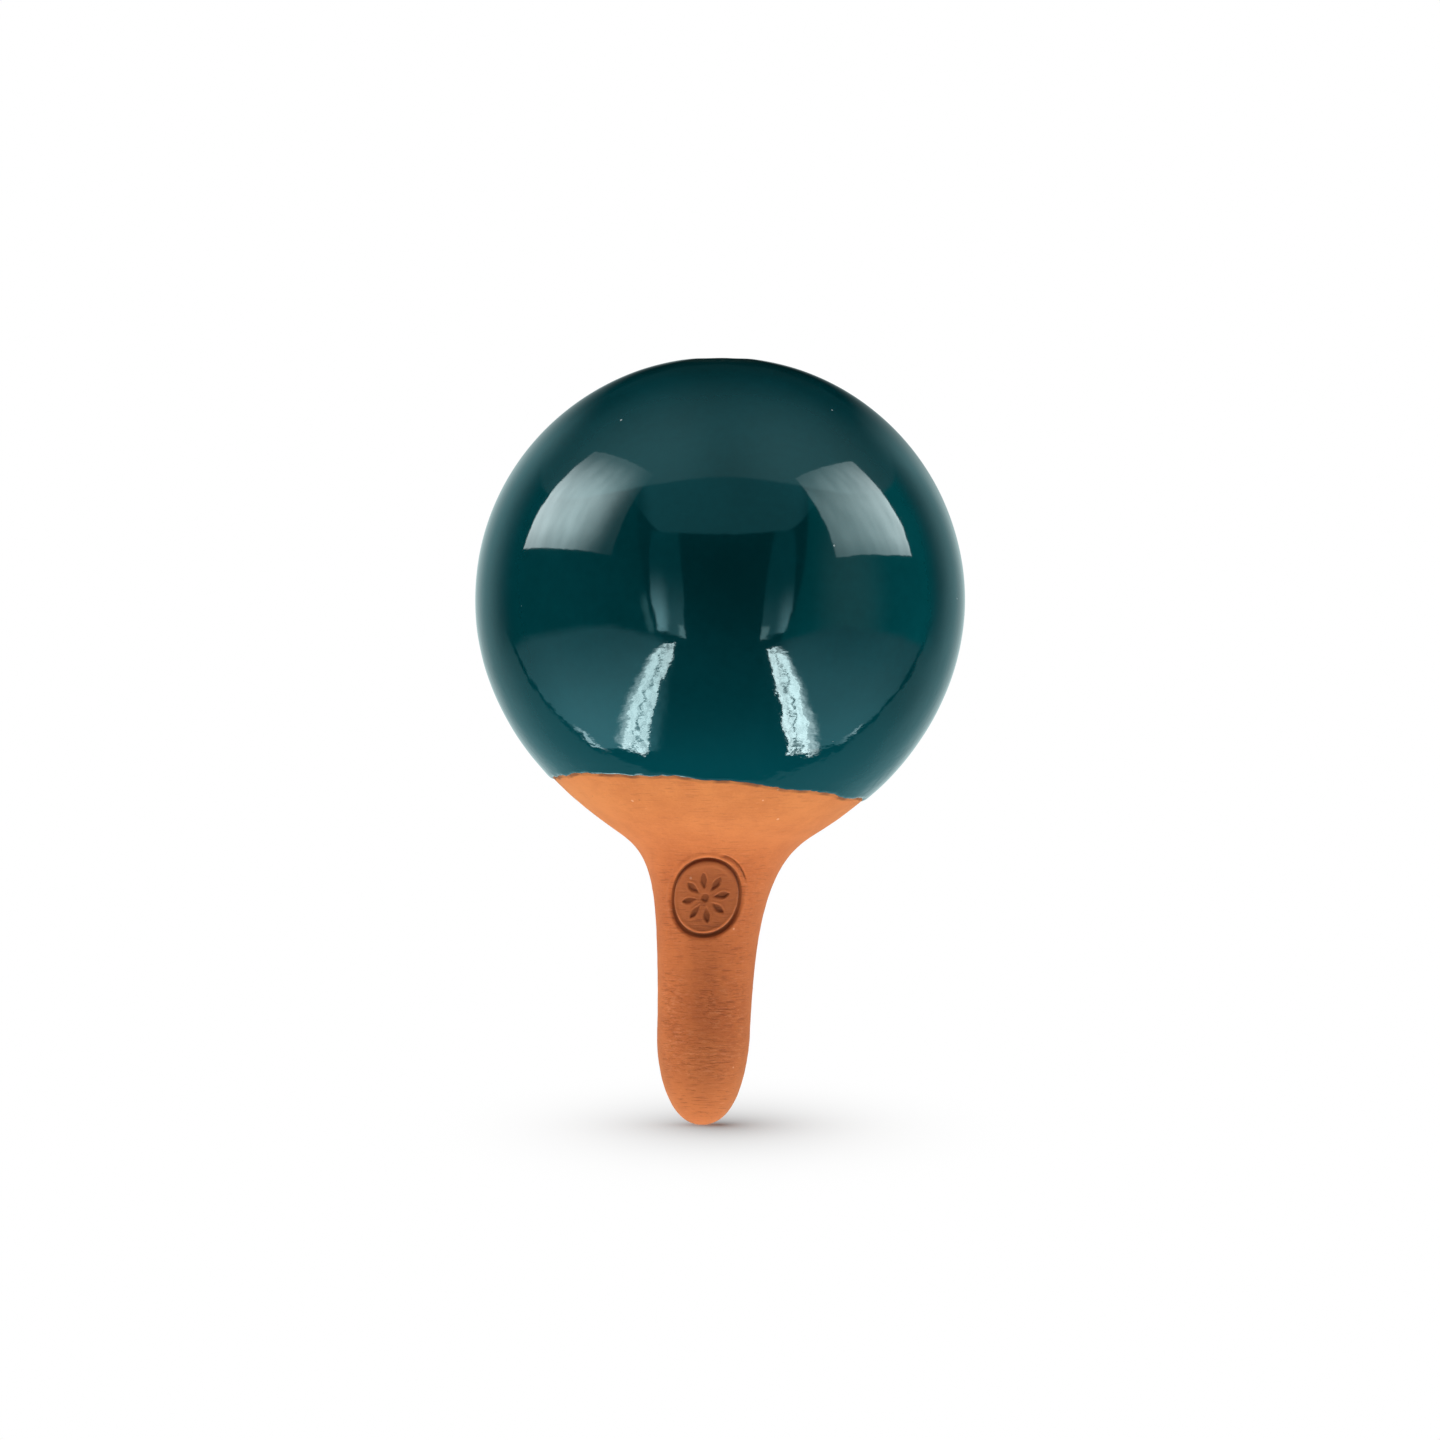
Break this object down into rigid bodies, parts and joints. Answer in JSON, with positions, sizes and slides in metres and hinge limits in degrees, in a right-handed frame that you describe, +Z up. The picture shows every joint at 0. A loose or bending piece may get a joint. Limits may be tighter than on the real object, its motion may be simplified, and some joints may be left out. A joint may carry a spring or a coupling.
{
  "type": "irrigation olla",
  "caption": "Watering olla: a hollow glazed pottery bulb on a bare porous terracotta spike that seeps water into soil, with a cork in its filling mouth.",
  "frame": {"origin": "on the bulb's axis, level with the tip of the spike", "axes": "+Z up along the bulb's axis, from the spike to the filling mouth; the stamp on the spike faces -Y; the spike leans a little to -X"},
  "size_m": [0.115, 0.115, 0.1795],
  "materials": {
    "terracotta": "bare fired clay, matt and porous, with fine turning marks",
    "glaze": "glossy dark teal glaze",
    "cork": "natural cork"
  },
  "bodies": {
    "vessel": {"reservoir_bulb": "terracotta", "porous_spike": "terracotta", "luting_slip": "terracotta", "glaze_coat": "glaze"},
    "stopper": {"cork_stopper": "cork"}
  },
  "joints": [
    {"name": "stopper_lift", "type": "slide", "parent": "vessel", "child": "stopper", "axis": [0, 0, 1], "range_m": [0, 0.04]}
  ]
}
